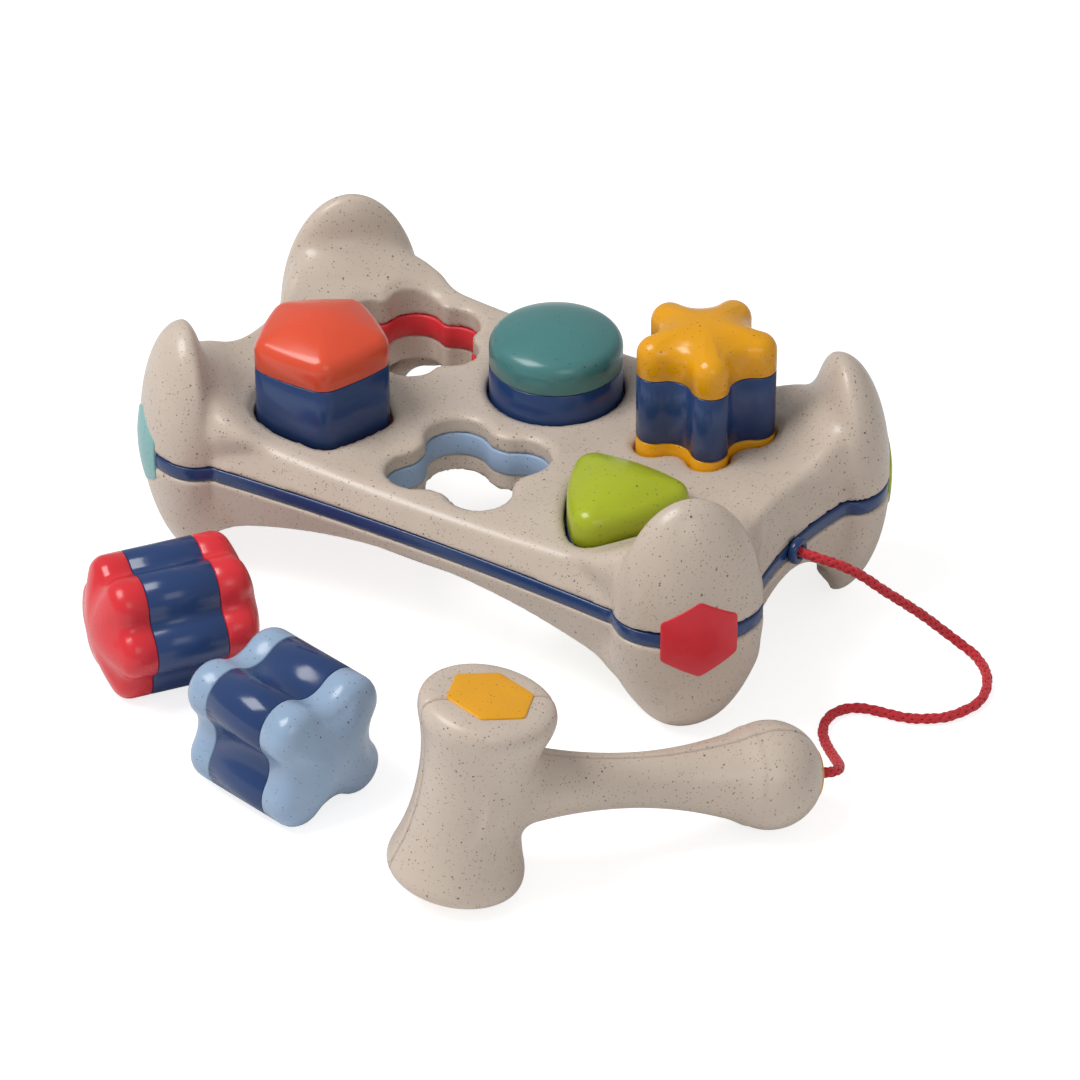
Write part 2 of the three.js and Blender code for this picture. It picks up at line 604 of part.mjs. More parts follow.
function hammerShell() {
  const half = HEAD_HEIGHT / 2;
  const headInside = headSolid(HEAD_WALL);
  const whole = headSolid(0).add(handleSolid(0)).subtract(headInside.add(handleSolid(HEAD_WALL)));
  const recess = prism(hexagon(HEXAGON_RADIUS + SEAM, 0), half - INLAY_DEPTH, REACH);
  const beyond = block([buttFace, -REACH, -REACH], [REACH, REACH, REACH]);
  const seatFloor = buttFace - BUTT_THICKNESS + BUTT_PROUD - SEAM;
  const seat = cylinder(BUTT_RADIUS + SEAM, seatFloor, REACH).rotate([0, 90, 0]);
  return whole.subtract(joined([recess, recess.rotate([180, 0, 0]), beyond, seat]));
}

function faceInlay() {
  const half = HEAD_HEIGHT / 2;
  return prism(hexagon(HEXAGON_RADIUS, 0), half - INLAY_DEPTH + SEAM, half + INLAY_PROUD);
}

function buttCap() {
  const disc = cylinder(BUTT_RADIUS, buttFace + BUTT_PROUD - BUTT_THICKNESS, buttFace + BUTT_PROUD);
  return disc.subtract(cylinder(CORD_BORE, 0, REACH, 12)).rotate([0, 90, 0]);
}

// The hammer rests on the rim of its lower face and on the ball
const rimToBall = HANDLE_REACH - HEAD_RADIUS + HEAD_RIM;
const rimToAxis = HEAD_HEIGHT / 2 - HEAD_RIM;
const hammerDip = Math.atan2(rimToAxis, rimToBall)
  - Math.asin((BALL_RADIUS - HEAD_RIM) / Math.hypot(rimToBall, rimToAxis));
const hammerHeight = HEAD_RIM + (HEAD_RADIUS - HEAD_RIM) * Math.sin(hammerDip)
  + rimToAxis * Math.cos(hammerDip) + FLOOR_GAP;

function alongHandle(distance) {
  const heading = THREE.MathUtils.degToRad(HAMMER_HEADING);
  const out = distance * Math.cos(hammerDip);
  const [x, y] = HAMMER_PLACE;
  const z = hammerHeight - distance * Math.sin(hammerDip);
  return [x + out * Math.cos(heading), y + out * Math.sin(heading), z];
}

function hammerGroup() {
  const group = new THREE.Group();
  const shell = hammerShell();
  const nearSide = block([-REACH, -REACH, -REACH], [REACH, -SEAM / 2, REACH]);
  const farSide = block([-REACH, SEAM / 2, -REACH], [REACH, REACH, REACH]);
  group.add(moulded('hammer_near_shell', shell.intersect(nearSide), BEIGE));
  group.add(moulded('hammer_far_shell', shell.intersect(farSide), BEIGE));
  group.add(moulded('hammer_top_hexagon', faceInlay(), 0xeba514));
  group.add(moulded('hammer_bottom_hexagon', faceInlay().rotate([180, 0, 0]), 0xeba514));
  group.add(moulded('hammer_butt_cap', buttCap(), 0xeba514));
  const stopper = moulded('hammer_cord_knot', knot(), 0xcd1928, 0.9);
  stopper.position.x = buttFace + BUTT_PROUD - BUTT_THICKNESS - SEAM - KNOT_RADIUS;
  group.add(stopper);
  group.rotation.order = 'ZYX';
  group.rotation.set(0, hammerDip, THREE.MathUtils.degToRad(HAMMER_HEADING));
  group.position.set(...HAMMER_PLACE, hammerHeight);
  return group;
}

// Cord from the knot behind the grommet, down to the floor, round and back up into the hammer's ball
const cordRoute = [
  [KNOT_X + KNOT_RADIUS + SEAM, 0, BAND_MIDDLE], [HALF_LENGTH - 2, 0, BAND_MIDDLE],
  [HALF_LENGTH + 6, 0, BAND_MIDDLE],
  [131, 0.8, 47.9], [137.5, 4.6, 45], [143.5, 9.3, 40],
  [149.5, 14.5, 33], [155, 20.3, 26], [160.5, 26.3, 18.5], [166, 31, 11.5], [171.8, 34, 6],
  [177.5, 34.3, 3.1], [182.6, 31.3, 2.2], [187, 26.6, 2.2], [190.3, 20.8, 2.2], [192.3, 14.4, 2.2],
  [192.4, 8, 2.2], [190, 0.9, 2.2], [186.8, -4.5, 2.2], [182.6, -8.1, 2.2], [177.8, -11.1, 2.2],
  [172.5, -12.9, 2.2], [165.2, -14, 2.2], [158.2, -15.8, 2.2], [153.4, -19.8, 2.2], [151.4, -25.4, 2.2],
  [152, -31.2, 2.2], [154.6, -36.8, 2.3], [158.8, -42, 2.9], [163.6, -47, 4.1], [168.2, -52, 6.1],
  [172.2, -57, 8.7], [175, -61.4, 11], [176.5, -65.3, 13], [176, -69.4, 14.5], [174, -72.8, 15.4],
  alongHandle(buttFace + 2.4), alongHandle(buttFace + BUTT_PROUD - BUTT_THICKNESS),
];

function cordSolid() {
  const path = new THREE.CatmullRomCurve3(cordRoute.map((point) => new THREE.Vector3(...point)));
  const round = Array.from({ length: CORD_SIDES }, (_, i) => {
    const angle = 2 * Math.PI * i / CORD_SIDES;
    return new THREE.Vector2(CORD_RADIUS * Math.cos(angle), CORD_RADIUS * Math.sin(angle));
  });
  const settings = { steps: CORD_STEPS, extrudePath: path, bevelEnabled: false };
  return solidOf(new THREE.ExtrudeGeometry(new THREE.Shape(round), settings));
}

const badges = [
  ['badge_back_right', 0xafb928],
  ['badge_back_left', 0xeba514],
  ['badge_front_left', 0x96bebe],
  ['badge_front_right', 0xc82332],
];

const toy = new THREE.Group();
toy.add(moulded('top_shell', topShell(), BEIGE));
toy.add(moulded('bottom_shell', bottomShell(), BEIGE));
toy.add(moulded('belt_band', beltBand(), NAVY, 0.3));
for (const [kind, [name, colour]] of Object.entries(insertColours)) {
  toy.add(moulded(name, gripInsert(blockShapes[kind]), colour, 0.6));
}
badges.forEach(([name, colour], i) => toy.add(moulded(name, cornerBadge(corners[i]), colour)));
toy.add(moulded('cord_grommet', cordGrommet(), NAVY, 0.3));
['left_end_screw', 'left_screw', 'right_screw', 'right_end_screw'].forEach((name, i) => {
  const screw = moulded(name, shellScrew(), 0x9a9a98, 0.35);
  screw.position.set(...bossPlaces[i], 0);
  toy.add(screw);
});
for (const kind of ['disc', 'star', 'pentagon', 'triangle']) {
  toy.add(seatBlock(kind, blockShapes[kind]));
}
toy.add(layBlock('flower', blockShapes.flower, FLOWER_PLACE, FLOWER_HEADING));
toy.add(layBlock('clover', blockShapes.clover, CLOVER_PLACE, CLOVER_HEADING));
toy.add(hammerGroup());

// The origin is under the middle of everything but the cord
const box = new THREE.Box3().setFromObject(toy, true);
const benchKnot = moulded('bench_cord_knot', knot(), 0xcd1928, 0.9);
benchKnot.position.set(KNOT_X, 0, BAND_MIDDLE);
toy.add(benchKnot, moulded('cord', cordSolid(), 0xcd1928, 0.9));
toy.position.set(-(box.min.x + box.max.x) / 2, -(box.min.y + box.max.y) / 2, -box.min.z);

const part = new THREE.Group();
part.add(toy);
export default part;
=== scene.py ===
import math
import bpy
import numpy as np
from mathutils import Matrix, Vector


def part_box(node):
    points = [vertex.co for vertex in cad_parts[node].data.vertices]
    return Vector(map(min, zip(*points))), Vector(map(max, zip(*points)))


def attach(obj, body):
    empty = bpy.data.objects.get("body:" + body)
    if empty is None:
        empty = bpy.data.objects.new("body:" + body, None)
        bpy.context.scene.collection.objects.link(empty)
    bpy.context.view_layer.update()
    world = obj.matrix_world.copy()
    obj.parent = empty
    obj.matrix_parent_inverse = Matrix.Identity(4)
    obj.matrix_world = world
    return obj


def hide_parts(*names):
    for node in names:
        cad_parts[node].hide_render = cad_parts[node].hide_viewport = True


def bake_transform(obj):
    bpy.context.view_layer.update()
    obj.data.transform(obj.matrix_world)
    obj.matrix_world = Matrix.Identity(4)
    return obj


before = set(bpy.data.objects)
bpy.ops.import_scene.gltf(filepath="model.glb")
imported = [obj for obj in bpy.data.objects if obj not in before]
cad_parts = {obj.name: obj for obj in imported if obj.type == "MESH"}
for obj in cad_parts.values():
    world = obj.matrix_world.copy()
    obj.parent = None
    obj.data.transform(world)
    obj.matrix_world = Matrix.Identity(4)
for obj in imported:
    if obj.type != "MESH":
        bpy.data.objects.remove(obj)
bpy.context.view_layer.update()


# Top shell: the dished deck with its six holes and the upper halves of the four ears.
# One injection moulding in beige bio-plastic with bran specks, three millimetres thick, with
# drawn hole edges, a collar under each hole and bosses for the screws that hold it down.
shell_low, shell_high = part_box("top_shell")
bench_x = 500 * (shell_low.x + shell_high.x)
bench_y = 500 * (shell_low.y + shell_high.y)

half_length, half_width = 120.0, 69.0
column_pitch, row_pitch = 64.0, 60.6
deck_height, deck_rise = 61.5, 8.0
upper_rim, lower_rim = 51.5, 45.5
upper_lean, lower_lean = 0.5, 0.25
side_hollow, side_run, end_hollow, end_run = 3.0, 86.0, 4.8, 37.0
corner_x, corner_y, corner_reach = 0.67, 0.7426, 111.1
shell_wall, rim_edge, hole_edge = 3.0, 1.6, 4.0
ear_x, ear_y, band_level = 108.0, 54.4, 48.5
ear_half_width, ear_outer, ear_inner, ear_rise = 27.5, 18.0, 9.5, 48.5
foot_drop, foot_tuck = 50.5, 3.0
crease_ease, sweep_ease, sweep_foot, sweep_height = 4.0, 24.0, 52.0, 15.0
sweep_edge, sweep_depth = 9.0, 26.0
insert_top, insert_bottom = 54.0, 45.0
hole_clearance, collar_wall = 1.0, 2.4

# name: tips, reach to a tip, reach half way between tips, rounding of a tip, facing, column, row
outlines = {
    "flower": (6, 26.7, 22.0, 10.0, 0, -1, 1),
    "disc": (6, 25.0, 25.0, 10.0, 0, 0, 1),
    "star": (5, 26.6, 17.8, 7.0, 90, 1, 1),
    "pentagon": (5, 25.6, 22.8, 8.0, 90, -1, -1),
    "clover": (4, 29.8, 20.0, 11.0, 45, 0, -1),
    "triangle": (3, 25.6, 18.5, 8.0, -90, 1, -1),
}
boss_places = ((-94.7, 0), (-32, 0), (32, 0), (94.7, 0))
boss_radius, boss_foot = 4.2, 40.3
end_wall_x, grommet_bore = 100.0, 3.7


def outline_arcs(kind):
    tips, reach, waist, rounding = outlines[kind][:4]
    half = math.pi / tips
    tip = reach - rounding
    dip = (rounding**2 - tip**2 - waist**2 + 2 * tip * waist * math.cos(half)) / (
        2 * (waist - tip * math.cos(half) - rounding)
    )
    middle = waist + dip
    side = 1 if dip > 0 else -1
    meet = math.atan2(side * middle * math.sin(half), side * (middle * math.cos(half) - tip))
    return half, tip, rounding, middle, dip, side, meet


def outline_distance(kind, x, y):
    half, tip, rounding, middle, dip, side, meet = outline_arcs(kind)
    facing = math.radians(outlines[kind][4])
    angle = np.arctan2(y, x) - facing
    angle = np.abs((angle + half) % (2 * half) - half)
    radius = np.hypot(x, y)
    u, v = radius * np.cos(angle), radius * np.sin(angle)
    on_tip = np.arctan2(v, u - tip) <= meet
    to_tip = np.hypot(u - tip, v) - rounding
    to_dip = side * (abs(dip) - np.hypot(u - middle * math.cos(half), v - middle * math.sin(half)))
    return np.where(on_tip, to_tip, to_dip)


def outline_loop(kind, grow, facing=None, per_tip=14, per_dip=8):
    half, tip, rounding, middle, dip, side, meet = outline_arcs(kind)
    tips = outlines[kind][0]
    facing = math.radians(outlines[kind][4] if facing is None else facing)
    if abs(meet) < 1e-6:
        turn = facing + 2 * math.pi * np.arange(120) / 120
        return (tip + rounding + grow) * np.stack([np.cos(turn), np.sin(turn)], 1)
    loop = []
    for k in range(tips):
        turn = facing + 2 * half * k
        for i in range(per_tip + (abs(meet - half) > 1e-6)):
            a = turn + meet * (2 * i / per_tip - 1)
            reach = rounding + grow
            x, y = tip * math.cos(turn), tip * math.sin(turn)
            loop.append((x + reach * math.cos(a), y + reach * math.sin(a)))
        for i in range(1, per_dip if abs(meet - half) > 1e-6 else 0):
            a = turn + half + (meet - half) * (1 - 2 * i / per_dip) + (math.pi if side > 0 else 0)
            arm = abs(dip - grow)
            x, y = middle * math.cos(turn + half), middle * math.sin(turn + half)
            loop.append((x + arm * math.cos(a), y + arm * math.sin(a)))
    return np.array(loop)


def hole_place(kind):
    column, row = outlines[kind][5:]
    return column * column_pitch, row * row_pitch / 2


def eased_least(a, b, ease):
    h = np.clip(0.5 + 0.5 * (b - a) / ease, 0, 1)
    return b + (a - b) * h - ease * h * (1 - h)


def eased_most(a, b, ease):
    return -eased_least(-a, -b, ease)


def gradual(share):
    share = np.clip(share, 0, 1)
    return share * share * (3 - 2 * share)


def deck_level(x):
    return deck_height + deck_rise * (x / half_length) ** 2


def lobe_distance(x, y, z):
    px, py = np.abs(x) - ear_x, np.abs(y) - ear_y
    out, along, up = (px + py) * math.sqrt(0.5), (py - px) * math.sqrt(0.5), z - band_level
    c = np.where(up > 0, ear_rise, foot_drop)
    out = out + np.where(up < 0, foot_tuck * np.minimum(1, up / c) ** 2, 0)
    a = np.where(out > 0, ear_outer, ear_inner)
    near = np.sqrt((out / a) ** 2 + (along / ear_half_width) ** 2 + (up / c) ** 2)
    steep = np.sqrt((out / a**2) ** 2 + (along / ear_half_width**2) ** 2 + (up / c**2) ** 2)
    return near * (near - 1) / np.maximum(steep, 1e-6)


def wall_distance(x, y, z):
    lean = np.maximum(0, z - upper_rim) * upper_lean + np.maximum(0, lower_rim - z) * lower_lean
    ax, ay = np.abs(x), np.abs(y)
    long_side = (ay + lean - half_width - side_hollow * np.minimum(ax / side_run, 1.1) ** 2) / 1.1
    end_side = (ax + lean - half_length - end_hollow * np.minimum(ay / end_run, 1.1) ** 2) / 1.1
    corner = corner_x * ax + corner_y * ay + lean - corner_reach
    return eased_most(eased_most(long_side, end_side, 2), corner, 2)


def top_outside(x, y, z):
    body = eased_most(z - deck_level(x), wall_distance(x, y, z), 3.5)
    out = (np.abs(x) - ear_x + np.abs(y) - ear_y) * math.sqrt(0.5)
    inner_face = gradual((sweep_edge - out) / sweep_depth)
    ease = crease_ease + sweep_ease * gradual((z - sweep_foot) / sweep_height) * inner_face
    return eased_least(body, lobe_distance(x, y, z), ease)


def top_field(x, y, z):
    outside = top_outside(x, y, z)
    field = np.maximum(outside, -outside - shell_wall)
    for kind in outlines:
        hx, hy = hole_place(kind)
        hole = outline_distance(kind, x - hx, y - hy) - hole_clearance
        field = eased_most(field, -hole, hole_edge)
        collar = np.maximum(np.maximum(-hole, hole - collar_wall), insert_top + 0.3 - z)
        field = np.minimum(field, np.maximum(collar, outside + 1.0))
    for bx, by in boss_places:
        boss = np.maximum(np.hypot(x - bx, y - by) - boss_radius, boss_foot - z)
        field = np.minimum(field, np.maximum(boss, outside + 1.5))
    field = np.where(np.abs(x) < end_wall_x, field, eased_most(field, upper_rim - z, rim_edge))
    lowest = np.where(outside > -shell_wall - 0.2, upper_rim, boss_foot)
    field = eased_most(field, lowest - z, rim_edge)
    return np.maximum(field, np.minimum(x - end_wall_x, grommet_bore - np.hypot(y, z - band_level)))


def skin(name, field, low, high, step):
    """Closed skin round all places where the field is negative, in millimetres round the bench's middle."""
    low, high = np.array(low, float), np.array(high, float)
    count = np.ceil((high - low) / step).astype(int) + 1
    x, y, z = np.meshgrid(*[low[i] + step * np.arange(count[i]) for i in range(3)], indexing="ij")
    value = field(x, y, z)
    inside = value < 0
    cells = count - 1

    def part(array, i, j, k):
        return array[i : i + cells[0], j : j + cells[1], k : k + cells[2]]

    corners = [(i, j, k) for i in (0, 1) for j in (0, 1) for k in (0, 1)]
    filled = sum(part(inside, *c).astype(np.int8) for c in corners)
    active = (filled > 0) & (filled < 8)
    number = np.full(cells, -1)
    number[active] = np.arange(active.sum())
    where = np.argwhere(active)
    total, hits = np.zeros((len(where), 3)), np.zeros(len(where))
    for axis in range(3):
        for c in corners:
            if c[axis]:
                continue
            d = list(c)
            d[axis] = 1
            a, b = part(value, *c)[active], part(value, *d)[active]
            crossing = (a < 0) != (b < 0)
            t = np.where(crossing, a / np.where(crossing, a - b, 1), 0)
            spot = np.tile(np.array(c, float), (len(where), 1))
            spot[:, axis] = t
            total += spot * crossing[:, None]
            hits += crossing
    points = low + step * (where + total / hits[:, None])
    small = 0.05
    for _ in range(3):
        d = field(*points.T)
        slope = [field(*(points + small * e).T) - field(*(points - small * e).T) for e in np.eye(3)]
        slope = np.stack(slope, 1) / (2 * small)
        move = d[:, None] * slope / np.maximum((slope**2).sum(1), 0.2)[:, None]
        reach = np.linalg.norm(move, axis=1)
        points -= move * np.minimum(1, 0.45 * step / np.maximum(reach, 1e-9))[:, None]
    faces = []
    for axis in range(3):
        b, c = (axis + 1) % 3, (axis + 2) % 3
        first = [slice(None)] * 3
        second = [slice(None)] * 3
        first[axis], second[axis] = slice(None, -1), slice(1, None)
        change = inside[tuple(first)] != inside[tuple(second)]
        spots = np.argwhere(change)
        for side in (b, c):
            spots = spots[(spots[:, side] > 0) & (spots[:, side] < cells[side])]
        ring = []
        for db, dc in ((-1, -1), (0, -1), (0, 0), (-1, 0)):
            cell = spots.copy()
            cell[:, b] += db
            cell[:, c] += dc
            ring.append(number[tuple(cell.T)])
        quads = np.stack(ring, 1)
        outward = inside[tuple(spots.T)]
        faces.append(np.where(outward[:, None], quads, quads[:, ::-1]))
    return piece(name, points, np.concatenate(faces).tolist())


def piece(name, points, faces):
    """Mesh object from points in millimetres round the bench's middle, shaded smooth."""
    points = np.asarray(points, float)
    mesh = bpy.data.meshes.new(name)
    mesh.from_pydata(((points + (bench_x, bench_y, 0)) * 0.001).tolist(), [], faces)
    mesh.validate()
    mesh.polygons.foreach_set("use_smooth", [True] * len(mesh.polygons))
    made = bpy.data.objects.new(name, mesh)
    bpy.context.scene.collection.objects.link(made)
    return made


def node(tree, kind, **values):
    made = tree.nodes.new("ShaderNode" + kind)
    for key, value in values.items():
        if key.startswith("in_"):
            made.inputs[int(key[3:])].default_value = value
        else:
            setattr(made, key, value)
    return made


def tint(red, green, blue):
    """Colour as seen on a screen, 0 to 255, as the linear values that a shader takes."""
    linear = [((c / 255 + 0.055) / 1.055) ** 2.4 if c > 10 else c / 3294.6 for c in (red, green, blue)]
    return (*linear, 1)


def speck_layer(tree, place, colour, cell, share, size, speck_tint):
    """Lays specks over a colour: one in some of the cells of a random foam, each with its own size."""
    foam = node(tree, "TexVoronoi", voronoi_dimensions="3D", feature="F1")
    foam.inputs["Scale"].default_value = 1000 / cell
    tree.links.new(place, foam.inputs["Vector"])
    pick = node(tree, "SeparateColor")
    tree.links.new(foam.outputs["Color"], pick.inputs[0])
    chosen = node(tree, "MapRange", in_1=1 - share, in_2=1.0, in_3=0.0, in_4=1.0)
    tree.links.new(pick.outputs[0], chosen.inputs[0])
    swell = node(tree, "Math", operation="MULTIPLY", in_1=size / cell)
    tree.links.new(chosen.outputs[0], swell.inputs[0])
    inside = node(tree, "Math", operation="SUBTRACT")
    tree.links.new(swell.outputs[0], inside.inputs[0])
    tree.links.new(foam.outputs["Distance"], inside.inputs[1])
    edge = node(tree, "MapRange", in_1=0.0, in_2=0.12 * size / cell, in_3=0.0, in_4=1.0)
    tree.links.new(inside.outputs[0], edge.inputs[0])
    strength = node(tree, "Math", operation="MULTIPLY")
    tree.links.new(edge.outputs[0], strength.inputs[0])
    fade = node(tree, "MapRange", in_1=0.0, in_2=1.0, in_3=0.35, in_4=0.95)
    tree.links.new(pick.outputs[1], fade.inputs[0])
    tree.links.new(fade.outputs[0], strength.inputs[1])
    mix = node(tree, "Mix", data_type="RGBA")
    tree.links.new(strength.outputs[0], mix.inputs["Factor"])
    tree.links.new(colour, mix.inputs["A"])
    mix.inputs["B"].default_value = speck_tint
    return mix.outputs["Result"]


def moulded_plastic(name, colour, rough, specks=(), cloud=0.04, grain=0.02):
    """Moulded plastic: faint flow clouds, a fine grain that breaks the gloss, and any bran specks."""
    made = bpy.data.materials.new(name)
    made.use_nodes = True
    tree = made.node_tree
    shader = tree.nodes["Principled BSDF"]
    place = node(tree, "TexCoord").outputs["Object"]
    flow = node(tree, "TexNoise")
    flow.inputs["Scale"].default_value = 45
    flow.inputs["Detail"].default_value = 3
    tree.links.new(place, flow.inputs["Vector"])
    level = node(tree, "MapRange", in_1=0.3, in_2=0.7, in_3=1 - cloud, in_4=1 + cloud)
    tree.links.new(flow.outputs[0], level.inputs[0])
    shade = node(tree, "HueSaturation")
    shade.inputs["Color"].default_value = tint(*colour)
    tree.links.new(level.outputs[0], shade.inputs["Value"])
    surface = shade.outputs[0]
    for layer in specks:
        surface = speck_layer(tree, place, surface, *layer)
    tree.links.new(surface, shader.inputs["Base Color"])
    fine = node(tree, "TexNoise")
    fine.inputs["Scale"].default_value = 1400
    fine.inputs["Detail"].default_value = 2
    tree.links.new(place, fine.inputs["Vector"])
    gloss = node(tree, "MapRange", in_1=0.3, in_2=0.7, in_3=rough - 0.05, in_4=rough + 0.05)
    tree.links.new(flow.outputs[0], gloss.inputs[0])
    tree.links.new(gloss.outputs[0], shader.inputs["Roughness"])
    bump = node(tree, "Bump")
    bump.inputs["Strength"].default_value = grain
    bump.inputs["Distance"].default_value = 0.0002
    tree.links.new(fine.outputs[0], bump.inputs["Height"])
    tree.links.new(bump.outputs[0], shader.inputs["Normal"])
    return made


bran = (
    (0.9, 0.6, 0.32, tint(140, 116, 100)),
    (1.4, 0.5, 0.42, tint(114, 92, 78)),
    (2.8, 0.45, 0.54, tint(84, 66, 56)),
)
beige = moulded_plastic("speckled_beige", (206, 190, 175), 0.31, bran)
top = skin("top_moulding", top_field, (-134, -80, 39), (134, 80, 99), 1.3)
top.data.materials.append(beige)
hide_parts("top_shell")
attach(top, "bench")


# Bottom shell: the skirt under the band, a web across it, a collar below each hole and the four
# half-cup feet. The same speckled moulding, open underneath, with arches cut in its walls.
side_arch_top, side_arch_bend, end_arch_top, end_arch_bend = 39.5, 0.00234, 36.5, 0.0165
web_level, web_half, collar_drop = 38.75, 1.25, 3.4
cup_lip, mouth_shift, leg_fillet = 4.0, 8.0, 9.0
leg_ease, leg_top, leg_run = 10.0, 43.0, 18.0


def bottom_field(x, y, z):
    foot = lobe_distance(x, y, z)
    wall = wall_distance(x, y, z)
    outside = eased_least(wall, foot, crease_ease + leg_ease * gradual((leg_top - z) / leg_run))
    field = np.maximum(outside, -outside - shell_wall)
    mouth = lobe_distance(np.abs(x) + mouth_shift, np.abs(y) + mouth_shift, z) + shell_wall
    field = eased_most(field, -np.maximum(mouth, wall + shell_wall), 1.2)
    side_arch = (side_arch_top - side_arch_bend * x**2 - z) / np.sqrt(1 + (2 * side_arch_bend * x) ** 2)
    end_arch = (end_arch_top - end_arch_bend * y**2 - z) / np.sqrt(1 + (2 * end_arch_bend * y) ** 2)
    inward = -cup_lip - (np.abs(x) - ear_x + np.abs(y) - ear_y) * math.sqrt(0.5)
    beside_legs = np.maximum(foot, inward)
    field = eased_most(field, eased_least(np.maximum(side_arch, end_arch), beside_legs, leg_fillet), 1.5)
    field = eased_most(field, -z, 1.2)
    field = np.minimum(field, np.maximum(outside + 1.6, np.abs(z - web_level) - web_half))
    for kind in outlines:
        hx, hy = hole_place(kind)
        hole = outline_distance(kind, x - hx, y - hy) - hole_clearance
        collar_foot = web_level - web_half - collar_drop * abs(outlines[kind][5])
        collar = np.maximum(np.maximum(hole - collar_wall, collar_foot - z), z - insert_bottom + 0.3)
        field = np.maximum(np.minimum(field, collar), -hole)
    field = eased_most(field, z - lower_rim, rim_edge)
    return np.maximum(field, np.minimum(x - end_wall_x, grommet_bore - np.hypot(y, z - band_level)))


bottom = skin("bottom_moulding", bottom_field, (-134, -80, -2), (134, 80, 47), 1.3)
bottom.data.materials.append(beige)
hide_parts("bottom_shell")
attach(bottom, "bench")


# Band: a navy gloss strip that runs round the bench between the two shells, also round the ears.
# It is a ring of its own, gripped at its inner side, and stands a hair back from the beige.
def plan_distance(x, y):
    z = np.full_like(x, band_level)
    return eased_least(wall_distance(x, y, z), lobe_distance(x, y, z), 2.5)


def plan_loop(inset, count=520):
    angle = np.linspace(0, 2 * math.pi, 6000, endpoint=False)
    near, far = np.full(angle.size, 30.0), np.full(angle.size, 170.0)
    for _ in range(44):
        half = (near + far) / 2
        within = plan_distance(half * np.cos(angle), half * np.sin(angle)) + inset < 0
        near, far = np.where(within, half, near), np.where(within, far, half)
    loop = np.stack([near * np.cos(angle), near * np.sin(angle)], 1)
    loop = np.vstack([loop, loop[:1]])
    run = np.concatenate([[0], np.cumsum(np.linalg.norm(np.diff(loop, axis=0), axis=1))])
    at = np.linspace(0, run[-1], count, endpoint=False)
    return np.stack([np.interp(at, run, loop[:, 0]), np.interp(at, run, loop[:, 1])], 1)


def drawn_in(loop, inset):
    step = np.roll(loop, -1, 0) - np.roll(loop, 1, 0)
    step /= np.linalg.norm(step, axis=1)[:, None]
    return loop + inset * np.stack([-step[:, 1], step[:, 0]], 1)


def ring_wall(loops, closed=True):
    """Surface through loops of equal count, each an array of points, joined end to end if closed."""
    count = len(loops[0])
    points = np.vstack(loops)
    rows = len(loops)
    faces = []
    for r in range(rows if closed else rows - 1):
        a, b = r * count, (r + 1) % rows * count
        for i in range(count):
            j = (i + 1) % count
            faces.append((a + i, a + j, b + j, b + i))
    return points, faces


def at_level(loop, z):
    return np.column_stack([loop, np.full(len(loop), z)])


navy = moulded_plastic("navy_gloss", (38, 64, 112), 0.2, cloud=0.05, grain=0.012)
edge_line = plan_loop(0.3)
band_low, band_high = 45.8, 51.2
band_rings = [
    (6.0, band_low), (0.8, band_low), (0.24, band_low + 0.24), (0, band_low + 0.8),
    (0, band_high - 0.8), (0.24, band_high - 0.24), (0.8, band_high), (6.0, band_high),
]
band = piece("navy_band", *ring_wall([at_level(drawn_in(edge_line, i), z) for i, z in band_rings]))
band.data.materials.append(navy)
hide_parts("belt_band")
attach(band, "bench")


# Grip inserts: a soft liner in each hole, a little narrower than the hole, that holds a block
# where it is pushed to. Moulded in the colour of the block that belongs there.
fine_bran = ((1.2, 0.5, 0.34, tint(100, 94, 76)), (2.3, 0.4, 0.46, tint(70, 66, 54)))
block_tints = {
    "flower": (222, 48, 56),
    "disc": (74, 130, 130),
    "star": (234, 163, 12),
    "pentagon": (226, 82, 52),
    "clover": (152, 176, 204),
    "triangle": (172, 186, 36),
}
block_slots = {
    "flower": "red",
    "disc": "teal",
    "star": "yellow",
    "pentagon": "orange",
    "clover": "light_blue",
    "triangle": "green",
}
insert_rings = [(3.3, 45.0), (0.8, 45.0), (0.35, 45.6), (0.35, 53.4), (0.8, 54.0), (3.3, 54.0)]
for kind, colour in block_tints.items():
    hx, hy = hole_place(kind)
    rings = [at_level(outline_loop(kind, grow) + (hx, hy), z) for grow, z in insert_rings]
    liner = piece("liner_" + block_slots[kind], *ring_wall(rings[::-1]))
    liner.data.materials.append(moulded_plastic("liner_" + block_slots[kind], colour, 0.5, fine_bran))
    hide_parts("grip_insert_" + block_slots[kind])
    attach(liner, "bench")


# Corner badges: hexagon buttons with a point up, bent to the ear and snapped into it over the band.
# Satin plastic in four colours, with faint facets round a flat middle.
def hexagon_reach(angle, rounding=0.14):
    """Reach of a hexagon with rounded corners, as a share of the reach to a sharp corner."""
    flat = math.cos(math.pi / 6)
    turn = abs((angle - math.pi / 2) % (math.pi / 3) - math.pi / 6)
    middle = (flat - rounding) / flat
    if flat * math.tan(turn) <= middle / 2:
        return flat / math.cos(turn)
    away = math.pi / 6 - turn
    return middle * math.cos(away) + math.sqrt(rounding**2 - (middle * math.sin(away)) ** 2)


